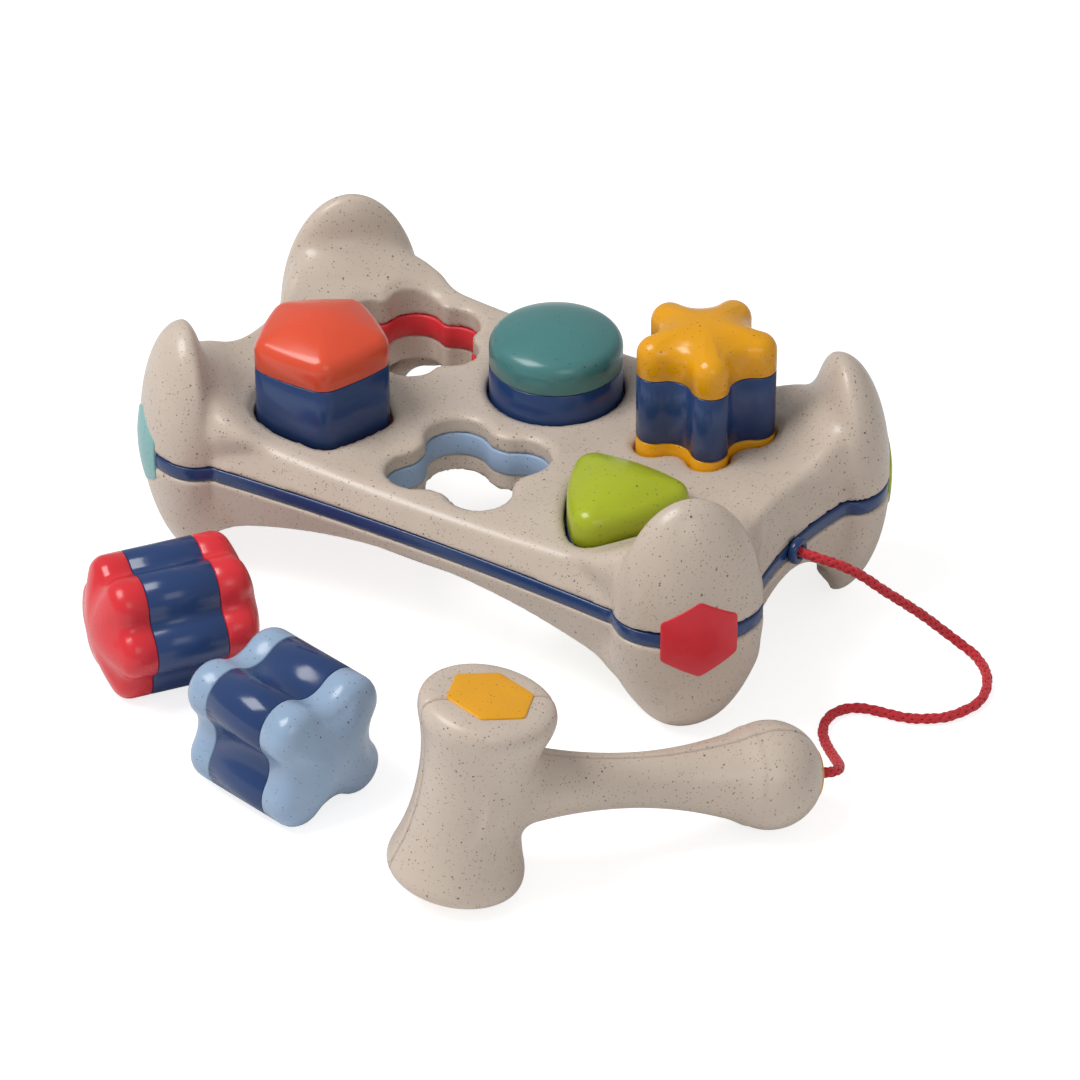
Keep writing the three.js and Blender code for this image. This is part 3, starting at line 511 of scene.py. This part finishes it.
def corner_badge(name, side_x, side_y, colour, specks):
    around, size = 96, 16.2
    turn = Matrix.Rotation(math.atan2(side_y, side_x), 3, "Z")
    loops = []
    profile = [(0.0, 1.1), (0.2, 1.1), (0.38, 1.09), (0.42, 1.06), (0.58, 0.88), (0.76, 0.68)]
    profile += [(0.93, 0.49), (0.965, 0.42), (0.99, 0.28), (1.0, 0.06), (1.0, -0.6)]
    for s, proud in profile:
        loop = []
        for i in range(around):
            a = 2 * math.pi * i / around
            reach = s * size * hexagon_reach(a)
            along, up = reach * math.cos(a), reach * math.sin(a)
            height = ear_rise if up > 0 else foot_drop
            out = ear_outer * math.sqrt(1 - (along / ear_half_width) ** 2 - (up / height) ** 2)
            facing = Vector((out / ear_outer**2, along / ear_half_width**2, up / height**2)).normalized()
            tuck = foot_tuck * min(0, up / height) ** 2
            spot = Vector((out - tuck, along, up)) + facing * proud
            loop.append(turn @ spot + Vector((side_x * ear_x, side_y * ear_y, band_level)))
        loops.append(np.array(loop))
    points, faces = ring_wall(loops, closed=False)
    faces = [face[::-1] for face in faces]
    faces.append([len(points) - around + i for i in range(around)])
    made = piece(name, points, faces)
    made.data.materials.append(moulded_plastic(name, colour, 0.34, specks))
    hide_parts(name.replace("button", "badge"))
    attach(made, "bench")


corner_badge("button_front_right", 1, -1, (222, 36, 52), ())
corner_badge("button_front_left", -1, -1, (126, 178, 178), fine_bran)
corner_badge("button_back_left", -1, 1, block_tints["star"], fine_bran)
corner_badge("button_back_right", 1, 1, block_tints["triangle"], fine_bran)


# Screws: four plated steel screws with domed heads and a cross slot, driven up through the web into
# the top shell's bosses. They show only from below.
steel = bpy.data.materials.new("plated_steel")
steel.use_nodes = True
steel_shader = steel.node_tree.nodes["Principled BSDF"]
steel_shader.inputs["Metallic"].default_value = 1
steel_shader.inputs["Base Color"].default_value = tint(176, 176, 172)
brushed = node(steel.node_tree, "TexNoise")
brushed.inputs["Scale"].default_value = 900
brushed_range = node(steel.node_tree, "MapRange", in_1=0.3, in_2=0.7, in_3=0.25, in_4=0.42)
steel.node_tree.links.new(brushed.outputs[0], brushed_range.inputs[0])
steel.node_tree.links.new(brushed_range.outputs[0], steel_shader.inputs["Roughness"])
for screw in ("left_end_screw", "left_screw", "right_screw", "right_end_screw"):
    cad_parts[screw].data.materials.clear()
    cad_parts[screw].data.materials.append(steel)


# Blocks: two caps in the block's colour, plugged into a navy sleeve from both ends.
# Each cap is a gloss moulding with a broad rounded edge and a slight crown; a fine line shows
# where it meets the sleeve.
cap_height, sleeve_height, cap_edge, crown = 17.5, 27.0, 6.5, 5.1
block_length = 2 * cap_height + sleeve_height


def cap_rings(kind, facing):
    loops = [outline_loop(kind, grow, facing) for grow in (-0.6, -0.6, -0.25, 0)]
    levels = [-1.0, 0.05, 0.1, 0.4]
    arc, arc_end = 8, math.radians(65)
    dome = {"star": 3.4, "triangle": 4.2}.get(kind, crown)
    shoulder = cap_height - dome - cap_edge * math.sin(arc_end)
    for i in range(arc + 1):
        a = arc_end * i / arc
        loops.append(outline_loop(kind, -cap_edge * (1 - math.cos(a)), facing))
        levels.append(shoulder + cap_edge * math.sin(a))
    face = loops[-1]
    circle = face / np.linalg.norm(face, axis=1)[:, None] * np.linalg.norm(face, axis=1).mean()
    for i in range(1, 16):
        s = 1 - i / 16
        loops.append((face + (circle - face) * (1 - s) ** 1.2) * s)
        levels.append(cap_height - dome * s**2)
    return loops, levels


def closed_stack(loops, levels):
    """Solid through stacked loops, with both ends closed."""
    points, faces = ring_wall([at_level(l, z) for l, z in zip(loops, levels)], closed=False)
    count = len(loops[0])
    faces.append(list(range(count))[::-1])
    faces.append([len(points) - count + i for i in range(count)])
    return points, faces


def sleeve_rings(kind, facing):
    low, high = cap_height + 0.1, cap_height + sleeve_height - 0.1
    grows = [-4.0, -0.4, 0.0, 0.0, -0.4, -4.0]
    levels = [low, low, low + 0.4, high - 0.4, high, high]
    return [outline_loop(kind, g, facing) for g in grows], levels


gloss_specks = {"flower": (), "pentagon": ((4.5, 0.35, 0.5, tint(150, 50, 30)),)}
for kind, colour in block_tints.items():
    loose = kind in ("flower", "clover")
    tips = outlines[kind][0]
    facing = 180 / tips if loose else outlines[kind][4]
    specks = gloss_specks.get(kind, fine_bran)
    gloss = moulded_plastic("cap_" + block_slots[kind], colour, 0.24, specks, grain=0.012)
    if loose:
        half, tip, rounding = outline_arcs(kind)[:3]
        spot, heading = {"flower": ((-67.7, -125.3), 54.0), "clover": ((5.4, -160.1), -12.0)}[kind]
        height = tip * math.cos(half) + rounding + 0.05
        place = (
            Matrix.Translation((spot[0], spot[1], height))
            @ Matrix.Rotation(math.radians(heading), 4, "Z")
            @ Matrix.Rotation(math.pi / 2, 4, "Y")
            @ Matrix.Translation((0, 0, -block_length / 2))
        )
    else:
        hx, hy = hole_place(kind)
        showing = {"disc": 28.5, "star": 47.4, "pentagon": 39.6, "triangle": 15.1}[kind]
        place = Matrix.Translation((hx, hy, deck_level(hx) + showing - block_length))
    upper = closed_stack(*cap_rings(kind, facing))
    lower_points, lower_faces = closed_stack(*cap_rings(kind, -facing))
    sleeve = closed_stack(*sleeve_rings(kind, facing))
    parts = {
        "upper_cap": (upper[0] + (0, 0, cap_height + sleeve_height), upper[1], gloss, block_slots[kind]),
        "sleeve": (sleeve[0], sleeve[1], navy, "navy"),
        "lower_cap": (lower_points * (1, -1, -1) + (0, 0, cap_height), lower_faces, gloss, block_slots[kind]),
    }
    for part_name, (points, faces, finish, slot_name) in parts.items():
        points = [place @ Vector(p) for p in points]
        made = piece(kind + "_block_" + part_name, points, faces)
        made.data.materials.append(finish)
        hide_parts(kind + "_" + part_name)
        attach(made, kind + "_block")


# Hammer: a waisted head and a handle with a ball end, moulded as two half shells that meet in a
# plane through both axes, in the same speckled beige as the bench.
head_height, head_radius, head_waist, head_rim = 74.0, 25.0, 19.0, 5.0
handle_reach, handle_waist, handle_root, waist_at, ball_radius = 111.0, 9.7, 19.5, 57.0, 19.3
reach_out, reach_up = handle_reach - head_radius + head_rim, head_height / 2 - head_rim
hammer_dip = math.atan2(reach_up, reach_out)
hammer_dip -= math.asin((ball_radius - head_rim) / math.hypot(reach_out, reach_up))
hammer_rise = head_rim + (head_radius - head_rim) * math.sin(hammer_dip)
hammer_rise += reach_up * math.cos(hammer_dip) + 0.05
hammer_place = (
    Matrix.Translation((92.0, -172.3, hammer_rise))
    @ Matrix.Rotation(math.radians(50.5), 4, "Z")
    @ Matrix.Rotation(hammer_dip, 4, "Y")
)
butt_radius, seat_radius, seat_depth = 9.5, 9.8, 2.3
butt_face = handle_reach + math.sqrt(ball_radius**2 - butt_radius**2)


def hammer_outside(x, y, z):
    straight = head_height / 2 - head_rim
    radius = head_waist + (head_radius - head_waist) * np.minimum(np.abs(z) / straight, 1.15) ** 2.2
    head = eased_most((np.hypot(x, y) - radius) / 1.05, np.abs(z) - head_height / 2, 2 * head_rim)
    joint = handle_reach - ball_radius / 2
    span = np.clip(x, 0, joint)
    away = np.where(span < waist_at, (span - waist_at) / waist_at, (span - waist_at) / (joint - waist_at))
    swell = np.where(span < waist_at, handle_root, 0.866 * ball_radius) - handle_waist
    stem = np.maximum((np.hypot(y, z) - handle_waist - swell * away**2) / 1.05, x - joint)
    stem = np.maximum(stem, -x)
    ball = np.sqrt((x - handle_reach) ** 2 + y**2 + z**2) - ball_radius
    whole = eased_least(eased_least(head, stem, 5), ball, 2.5)
    whole = eased_most(whole, x - butt_face, 1.2)
    seat = np.maximum(np.hypot(y, z) - seat_radius, butt_face - seat_depth - x)
    return np.maximum(whole, -seat)


def hammer_half(side):
    def field(x, y, z):
        return eased_most(hammer_outside(x, y, z), 0.06 - side * y, 0.9)

    return field


for side, name in ((-1, "hammer_near_shell"), (1, "hammer_far_shell")):
    y_low, y_high = (-27, 2) if side < 0 else (-2, 27)
    made = skin(name.replace("shell", "half"), hammer_half(side), (-27, y_low, -40), (130, y_high, 40), 1.1)
    made.data.transform(Matrix.Translation((-bench_x / 1000, -bench_y / 1000, 0)))
    place = hammer_place.copy()
    place.translation = (place.translation + Vector((bench_x, bench_y, 0))) / 1000
    made.data.transform(place)
    made.data.materials.append(beige)
    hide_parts(name)
    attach(made, "hammer")


# Hammer inlays: an amber hexagon let into each striking face, and the round cap in the ball's end
# that the cord goes through. Satin plastic with soft edges.
amber = moulded_plastic("amber_inlay", (238, 168, 22), 0.36, fine_bran)


def face_hexagon(side):
    around, size = 96, 16.0
    loops, levels = [], []
    profile = [(0.985, -0.9), (1.0, -0.8), (1.0, 0.25), (0.99, 0.5)]
    profile += [(0.965, 0.6), (0.7, 0.6), (0.35, 0.6), (0.05, 0.6)]
    for s, proud in profile:
        loop = []
        for i in range(around):
            a = 2 * math.pi * i / around
            reach = s * size * hexagon_reach(a + math.pi / 2)
            loop.append((reach * math.cos(a), reach * math.sin(a)))
        loops.append(np.array(loop))
        levels.append(head_height / 2 + proud)
    points, faces = closed_stack(loops, levels)
    return points * (1, side, side), faces


for side, name in ((1, "hammer_top_hexagon"), (-1, "hammer_bottom_hexagon")):
    points, faces = face_hexagon(side)
    made = piece(name + "_inlay", [hammer_place @ Vector(p) for p in points], faces)
    made.data.materials.append(amber)
    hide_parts(name)
    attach(made, "hammer")


def turned(profile, around):
    """Closed ring turned round the X axis, from pairs of radius and place along it."""
    turn = 2 * math.pi * np.arange(around) / around
    loops = [np.stack([np.full(around, h), r * np.cos(turn), r * np.sin(turn)], 1) for r, h in profile]
    return ring_wall(loops)


cap_profile = [(2.4, -2.0), (9.3, -2.0), (9.5, -1.8), (9.5, 0.0), (9.3, 0.4)]
cap_profile += [(8.8, 0.6), (3.0, 0.6), (2.55, 0.45), (2.4, 0.1)]
cap_points, cap_faces = turned([(r, butt_face + h) for r, h in cap_profile], 64)
cap_points = [hammer_place @ Vector(p) for p in cap_points]
butt = piece("butt_cap", cap_points, cap_faces)
butt.data.materials.append(amber)
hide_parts("hammer_butt_cap")
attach(butt, "hammer")


# Cord: red braided cord, four millimetres thick, of eight yarns laid over and under each other on a
# core. It is knotted behind the bench's end wall and in the hammer's ball.
cord_red = bpy.data.materials.new("red_braid")
cord_red.use_nodes = True
cord_tree = cord_red.node_tree
cord_shader = cord_tree.nodes["Principled BSDF"]
cord_shader.inputs["Roughness"].default_value = 0.7
cord_shader.inputs["Sheen Weight"].default_value = 0.3
fibre = node(cord_tree, "TexNoise")
fibre.inputs["Scale"].default_value = 2500
fibre.inputs["Detail"].default_value = 3
fibre_place = node(cord_tree, "TexCoord")
cord_tree.links.new(fibre_place.outputs["Object"], fibre.inputs["Vector"])
fibre_shade = node(cord_tree, "Mix", data_type="RGBA")
fibre_shade.inputs["A"].default_value = tint(176, 14, 30)
fibre_shade.inputs["B"].default_value = tint(222, 34, 50)
cord_tree.links.new(fibre.outputs[0], fibre_shade.inputs["Factor"])
cord_tree.links.new(fibre_shade.outputs["Result"], cord_shader.inputs["Base Color"])
fibre_bump = node(cord_tree, "Bump")
fibre_bump.inputs["Strength"].default_value = 0.3
fibre_bump.inputs["Distance"].default_value = 0.0002
cord_tree.links.new(fibre.outputs[0], fibre_bump.inputs["Height"])
cord_tree.links.new(fibre_bump.outputs[0], cord_shader.inputs["Normal"])

cord_route = [
    (111, 0, 48.5), (118, 0, 48.5), (126, 0, 48.5), (131, 0.8, 47.9), (137.5, 4.6, 45), (143.5, 9.3, 40),
    (149.5, 14.5, 33), (155, 20.3, 26), (160.5, 26.3, 18.5), (166, 31, 11.5), (171.8, 34, 6),
    (177.5, 34.3, 3.1), (182.6, 31.3, 2.2), (187, 26.6, 2.2), (190.3, 20.8, 2.2), (192.3, 14.4, 2.2),
    (192.4, 8, 2.2), (190, 0.9, 2.2), (186.8, -4.5, 2.2), (182.6, -8.1, 2.2), (177.8, -11.1, 2.2),
    (172.5, -12.9, 2.2), (165.2, -14, 2.2), (158.2, -15.8, 2.2), (153.4, -19.8, 2.2), (151.4, -25.4, 2.2),
    (152, -31.2, 2.2), (154.6, -36.8, 2.3), (158.8, -42, 2.9), (163.6, -47, 4.1), (168.2, -52, 6.1),
    (172.2, -57, 8.7), (175, -61.4, 11), (176.5, -65.3, 13), (176, -69.4, 14.5), (174, -72.8, 15.4),
    tuple(hammer_place @ Vector((butt_face + 2.4, 0, 0))),
    tuple(hammer_place @ Vector((butt_face - 2.0, 0, 0))),
]


def smooth_route(route, spacing):
    p = np.array([2 * np.array(route[0]) - route[1], *route, 2 * np.array(route[-1]) - route[-2]], float)
    fine = []
    for i in range(1, len(p) - 2):
        a, b, c, d = p[i - 1 : i + 3]
        bend, twist = 2 * a - 5 * b + 4 * c - d, 3 * b - a - 3 * c + d
        for t in np.linspace(0, 1, 24, endpoint=False):
            fine.append(0.5 * (2 * b + (c - a) * t + bend * t**2 + twist * t**3))
    fine = np.array([*fine, p[-2]])
    run = np.concatenate([[0], np.cumsum(np.linalg.norm(np.diff(fine, axis=0), axis=1))])
    at = np.linspace(0, run[-1], int(run[-1] / spacing) + 1)
    return np.stack([np.interp(at, run, fine[:, k]) for k in range(3)], 1), at


line, along_cord = smooth_route(cord_route, 0.6)
ahead = np.gradient(line, axis=0)
ahead /= np.linalg.norm(ahead, axis=1)[:, None]
left = [np.array((0.0, 1.0, 0.0))]
for i in range(1, len(line)):
    side = left[-1] - ahead[i] * (left[-1] @ ahead[i])
    left.append(side / np.linalg.norm(side))
left = np.array(left)
over = np.cross(ahead, left)


def yarn(offsets_left, offsets_over, radius, sides):
    middle = line + left * offsets_left[:, None] + over * offsets_over[:, None]
    way = np.gradient(middle, axis=0)
    way /= np.linalg.norm(way, axis=1)[:, None]
    out = left * offsets_left[:, None] + over * offsets_over[:, None]
    length = np.linalg.norm(out, axis=1)[:, None]
    out = np.where(length > 1e-6, out / np.maximum(length, 1e-6), left)
    out -= way * (out * way).sum(1)[:, None]
    out /= np.linalg.norm(out, axis=1)[:, None]
    across = np.cross(way, out)
    turns = 2 * math.pi * np.arange(sides)[None, :, None] / sides
    flattened = 0.75 * np.cos(turns) * out[:, None] + 1.15 * np.sin(turns) * across[:, None]
    points, faces = ring_wall(middle[:, None] + radius * flattened, closed=False)
    faces.append(list(range(sides))[::-1])
    faces.append([len(points) - sides + i for i in range(sides)])
    return points, faces


braid_pitch, yarn_radius, braid_radius = 13.0, 0.62, 1.36
cord_points, cord_faces = [], []
strands = [(np.zeros(len(line)), np.zeros(len(line)), 1.25, 8)]
for k in range(8):
    way_round = 1 if k % 2 else -1
    angle = way_round * 2 * math.pi * along_cord / braid_pitch + (k // 2) * math.pi / 2
    lift = braid_radius + 0.17 * way_round * np.sin(2 * angle * way_round + (k // 2) * math.pi)
    strands.append((lift * np.cos(angle), lift * np.sin(angle), yarn_radius, 7))
for strand in strands:
    points, faces = yarn(*strand)
    base = sum(len(p) for p in cord_points)
    cord_points.append(points)
    cord_faces += [[base + i for i in f] for f in faces]
cord = piece("red_cord", np.vstack(cord_points), cord_faces)
cord.data.materials.append(cord_red)
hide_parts("cord")
for knot in ("bench_cord_knot", "hammer_cord_knot"):
    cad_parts[knot].data.materials.clear()
    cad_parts[knot].data.materials.append(cord_red)


def in_metres(spot):
    return tuple((spot[i] + (bench_x, bench_y, 0)[i]) * 0.001 for i in range(3))


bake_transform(cord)


# Grommet: the navy bush in the end wall that the cord comes out of, pressed in from outside, with a
# rounded lip.
lip = [(2.45, 111), (3.35, 111), (3.35, 120.2), (4.6, 120.2), (5.0, 120.6), (5.0, 122.0)]
lip += [(4.7, 122.9), (4.0, 123.3), (3.1, 123.2), (2.6, 122.8), (2.45, 122)]
grommet_points, grommet_faces = turned(lip, 40)
grommet_points = grommet_points + (0, 0, band_level)
grommet = piece("navy_grommet", grommet_points, grommet_faces)
grommet.data.materials.append(navy)
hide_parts("cord_grommet")
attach(grommet, "bench")


# Floor and light: a seamless white studio table, one large soft box high on the left, a weaker one
# on the right, and an even white room.
floor_mesh = bpy.data.meshes.new("studio_floor")
floor_mesh.from_pydata([(-6, -6, 0), (6, -6, 0), (6, 6, 0), (-6, 6, 0)], [], [(0, 1, 2, 3)])
floor = bpy.data.objects.new("studio_floor", floor_mesh)
bpy.context.scene.collection.objects.link(floor)
floor.location.z = -0.0002
paper = bpy.data.materials.new("white_paper")
paper.use_nodes = True
paper_tree = paper.node_tree
paper_shader = paper_tree.nodes["Principled BSDF"]
paper_shader.inputs["Roughness"].default_value = 0.9
seen = node(paper_tree, "LightPath")
glow = node(paper_tree, "Math", operation="MULTIPLY", in_1=0.78)
paper_tree.links.new(seen.outputs["Is Camera Ray"], glow.inputs[0])
paper_white = node(paper_tree, "MapRange", in_1=0.0, in_2=1.0, in_3=0.92, in_4=0.5)
paper_tree.links.new(seen.outputs["Is Camera Ray"], paper_white.inputs[0])
paper_tree.links.new(paper_white.outputs[0], paper_shader.inputs["Base Color"])
paper_shader.inputs["Emission Color"].default_value = (1, 1, 1, 1)
paper_tree.links.new(glow.outputs[0], paper_shader.inputs["Emission Strength"])
floor_mesh.materials.append(paper)


def soft_box(name, spot, aim, size, power):
    lamp = bpy.data.lights.new(name, "AREA")
    lamp.shape = "RECTANGLE"
    lamp.size, lamp.size_y = size
    lamp.energy = power
    made = bpy.data.objects.new(name, lamp)
    made.location = spot
    made.rotation_mode = "QUATERNION"
    made.rotation_quaternion = (Vector(aim) - Vector(spot)).to_track_quat("-Z", "Y")
    bpy.context.scene.collection.objects.link(made)


soft_box("left_box", (-0.6, -0.55, 1.4), (0, 0, 0.03), (0.8, 0.8), 16.5)
soft_box("right_box", (1.1, -0.9, 1.0), (0, 0, 0.03), (0.7, 0.7), 2.5)
world = bpy.data.worlds.new("white_room")
world.use_nodes = True
world.node_tree.nodes["Background"].inputs[0].default_value = (1, 1, 1, 1)
world.node_tree.nodes["Background"].inputs[1].default_value = 0.39
bpy.context.scene.world = world


# Camera: the photograph's own place, a long lens from the front right and above, worked out from the
# hole rims, the ear tops and the feet.
azimuth, elevation = math.radians(32.03), math.radians(34.40)
camera_distance, focal_length, picture_width = 2.0543, 5512.8, 1080
level = math.cos(elevation)
back = Vector((math.sin(azimuth) * level, -math.cos(azimuth) * level, math.sin(elevation)))
aim = Vector(in_metres((13.75, -2.92, 15.77)))
lens = bpy.data.cameras.new("long_lens")
lens.sensor_width = 36
lens.lens = 36 * focal_length / picture_width
lens.clip_end = 20
camera = bpy.data.objects.new("camera", lens)
camera.location = aim + back * camera_distance
camera.rotation_mode = "QUATERNION"
camera.rotation_quaternion = (-back).to_track_quat("-Z", "Y")
bpy.context.scene.collection.objects.link(camera)
bpy.context.scene.camera = camera
bpy.context.scene.view_settings.view_transform = "Standard"
